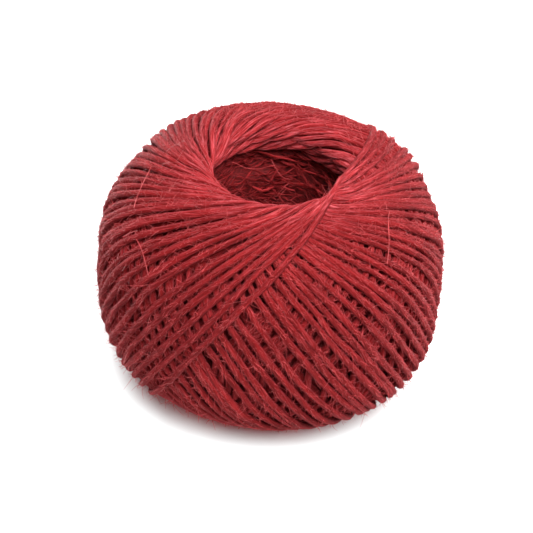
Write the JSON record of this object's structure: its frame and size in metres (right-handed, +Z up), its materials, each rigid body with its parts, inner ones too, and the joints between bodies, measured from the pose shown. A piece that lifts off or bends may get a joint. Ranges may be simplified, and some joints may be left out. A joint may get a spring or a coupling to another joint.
{
  "type": "ball of twine",
  "caption": "Squat round ball of red twine, wound in slanted turns round an open hollow that runs down through its middle.",
  "frame": {"origin": "centre of the small flat foot that the ball stands on, on the axis of its hollow", "axes": "+Z up along the hollow, the way the spindle was drawn out; -Y faces the viewer, where the newest turn shows as a slanted ridge"},
  "size_m": [0.0704, 0.07, 0.05],
  "materials": {
    "twine": "dyed red bast-fibre twine, softly spun, matte with a faint sheen along the fibres and a short fuzz"
  },
  "bodies": {
    "root": {"twine_ball": "twine"}
  },
  "joints": []
}
